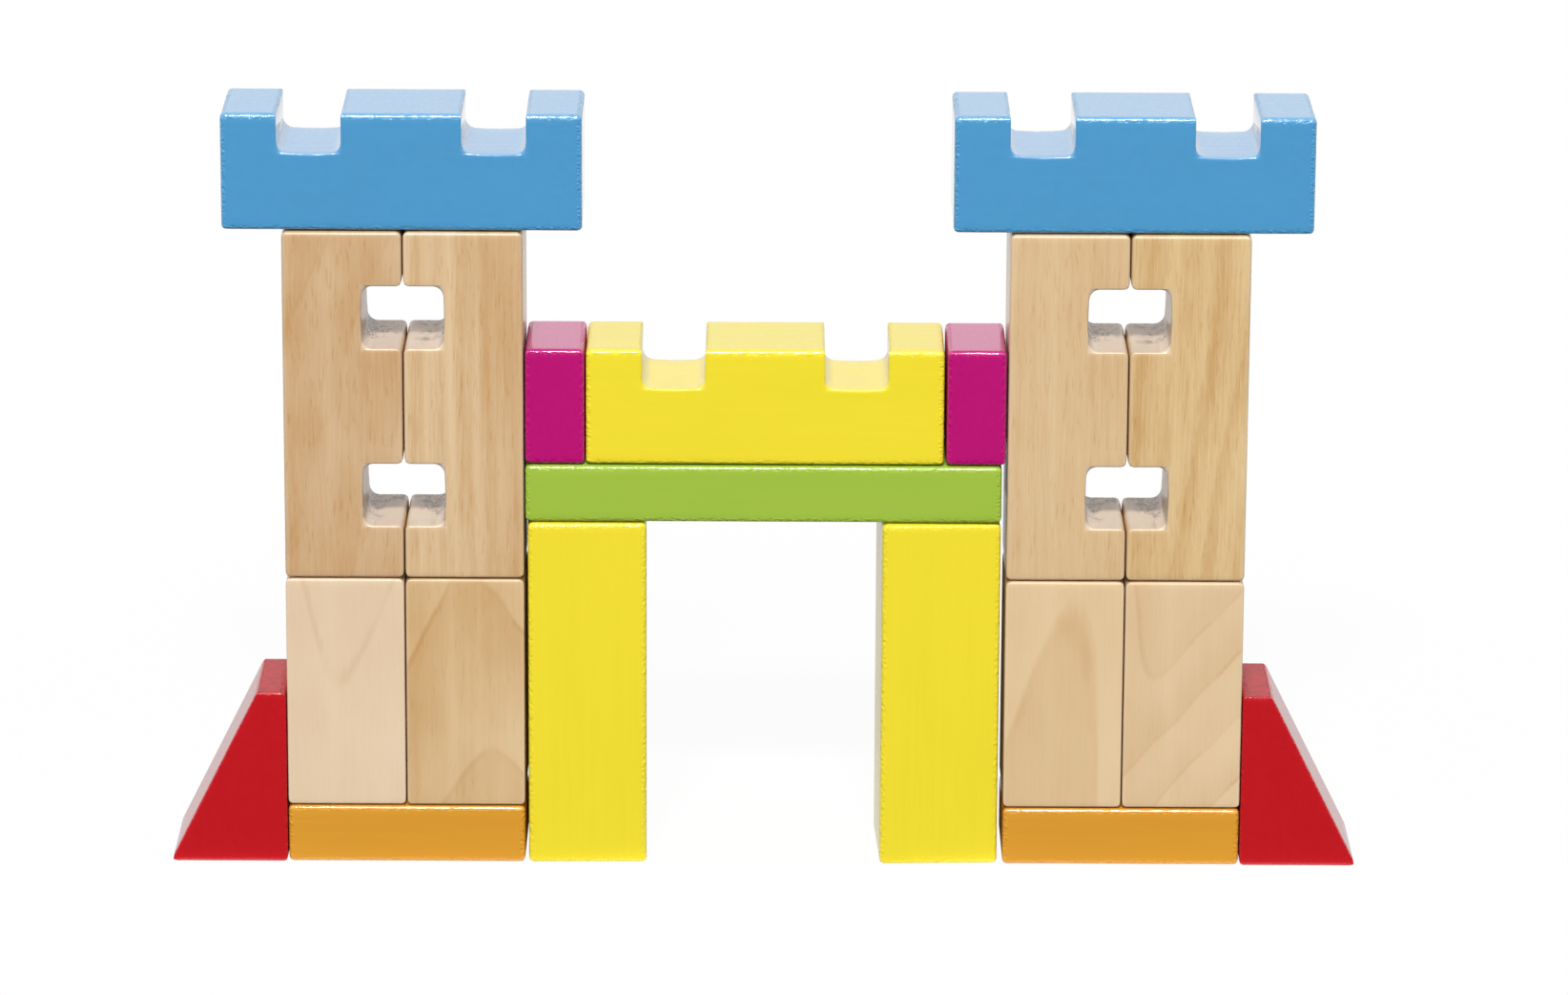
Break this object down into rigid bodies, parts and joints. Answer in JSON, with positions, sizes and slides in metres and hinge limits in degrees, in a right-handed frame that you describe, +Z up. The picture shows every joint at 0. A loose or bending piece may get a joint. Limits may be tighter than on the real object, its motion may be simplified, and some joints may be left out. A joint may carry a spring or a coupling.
{
  "type": "toy block castle",
  "caption": "Castle of loose wooden toy blocks: window towers with battlements, a lintelled gate between them and wedge buttresses at the sides.",
  "frame": {"origin": "on the floor at the middle of the castle's width and depth", "axes": "+X to the right along the front, +Y from the front to the back, +Z up"},
  "size_m": [0.3012, 0.031, 0.1953],
  "materials": {
    "natural_wood": "bare sanded beech, clear satin oil",
    "blue_paint": "gloss lacquer, a little grain showing",
    "yellow_paint": "gloss lacquer",
    "green_paint": "gloss lacquer",
    "orange_paint": "gloss lacquer",
    "magenta_paint": "gloss lacquer",
    "red_paint": "gloss lacquer"
  },
  "bodies": {
    "left_base_plank": {"left_base_plank": "orange_paint"},
    "left_tower_outer_short_block": {"left_tower_outer_short_block": "natural_wood"},
    "left_tower_inner_short_block": {"left_tower_inner_short_block": "natural_wood"},
    "left_tower_outer_window_block": {"left_tower_outer_window_block": "natural_wood"},
    "left_tower_inner_window_block": {"left_tower_inner_window_block": "natural_wood"},
    "left_tower_battlement": {"left_tower_battlement": "blue_paint"},
    "right_base_plank": {"right_base_plank": "orange_paint"},
    "right_tower_inner_short_block": {"right_tower_inner_short_block": "natural_wood"},
    "right_tower_outer_short_block": {"right_tower_outer_short_block": "natural_wood"},
    "right_tower_inner_window_block": {"right_tower_inner_window_block": "natural_wood"},
    "right_tower_outer_window_block": {"right_tower_outer_window_block": "natural_wood"},
    "right_tower_battlement": {"right_tower_battlement": "blue_paint"},
    "left_gate_pillar": {"left_gate_pillar": "yellow_paint"},
    "right_gate_pillar": {"right_gate_pillar": "yellow_paint"},
    "gate_lintel": {"gate_lintel": "green_paint"},
    "gate_battlement": {"gate_battlement": "yellow_paint"},
    "left_half_block": {"left_half_block": "magenta_paint"},
    "right_half_block": {"right_half_block": "magenta_paint"},
    "left_buttress": {"left_buttress": "red_paint"},
    "right_buttress": {"right_buttress": "red_paint"}
  },
  "joints": [
    {"name": "left_tower_outer_short_block_draw", "type": "slide", "parent": "left_base_plank", "child": "left_tower_outer_short_block", "axis": [0, -1, 0], "range_m": [-0.04, 0.04]},
    {"name": "left_tower_inner_short_block_draw", "type": "slide", "parent": "left_base_plank", "child": "left_tower_inner_short_block", "axis": [0, -1, 0], "range_m": [-0.04, 0.04]},
    {"name": "left_tower_outer_window_block_draw", "type": "slide", "parent": "left_base_plank", "child": "left_tower_outer_window_block", "axis": [0, -1, 0], "range_m": [-0.04, 0.04]},
    {"name": "left_tower_inner_window_block_draw", "type": "slide", "parent": "left_base_plank", "child": "left_tower_inner_window_block", "axis": [0, -1, 0], "range_m": [-0.04, 0.04]},
    {"name": "left_tower_battlement_lift", "type": "slide", "parent": "left_base_plank", "child": "left_tower_battlement", "axis": [0, 0, 1], "range_m": [0, 0.06]},
    {"name": "right_base_plank_draw", "type": "slide", "parent": "left_base_plank", "child": "right_base_plank", "axis": [0, -1, 0], "range_m": [-0.04, 0.04]},
    {"name": "right_tower_inner_short_block_draw", "type": "slide", "parent": "left_base_plank", "child": "right_tower_inner_short_block", "axis": [0, -1, 0], "range_m": [-0.04, 0.04]},
    {"name": "right_tower_outer_short_block_draw", "type": "slide", "parent": "left_base_plank", "child": "right_tower_outer_short_block", "axis": [0, -1, 0], "range_m": [-0.04, 0.04]},
    {"name": "right_tower_inner_window_block_draw", "type": "slide", "parent": "left_base_plank", "child": "right_tower_inner_window_block", "axis": [0, -1, 0], "range_m": [-0.04, 0.04]},
    {"name": "right_tower_outer_window_block_draw", "type": "slide", "parent": "left_base_plank", "child": "right_tower_outer_window_block", "axis": [0, -1, 0], "range_m": [-0.04, 0.04]},
    {"name": "right_tower_battlement_lift", "type": "slide", "parent": "left_base_plank", "child": "right_tower_battlement", "axis": [0, 0, 1], "range_m": [0, 0.06]},
    {"name": "left_gate_pillar_draw", "type": "slide", "parent": "left_base_plank", "child": "left_gate_pillar", "axis": [0, -1, 0], "range_m": [-0.04, 0.04]},
    {"name": "right_gate_pillar_draw", "type": "slide", "parent": "left_base_plank", "child": "right_gate_pillar", "axis": [0, -1, 0], "range_m": [-0.04, 0.04]},
    {"name": "gate_lintel_draw", "type": "slide", "parent": "left_base_plank", "child": "gate_lintel", "axis": [0, -1, 0], "range_m": [-0.04, 0.04]},
    {"name": "gate_battlement_lift", "type": "slide", "parent": "left_base_plank", "child": "gate_battlement", "axis": [0, 0, 1], "range_m": [0, 0.06]},
    {"name": "left_half_block_draw", "type": "slide", "parent": "left_base_plank", "child": "left_half_block", "axis": [0, -1, 0], "range_m": [-0.04, 0.04]},
    {"name": "right_half_block_draw", "type": "slide", "parent": "left_base_plank", "child": "right_half_block", "axis": [0, -1, 0], "range_m": [-0.04, 0.04]},
    {"name": "left_buttress_slide", "type": "slide", "parent": "left_base_plank", "child": "left_buttress", "axis": [-1, 0, 0], "range_m": [0, 0.045]},
    {"name": "right_buttress_slide", "type": "slide", "parent": "left_base_plank", "child": "right_buttress", "axis": [1, 0, 0], "range_m": [0, 0.045]}
  ]
}
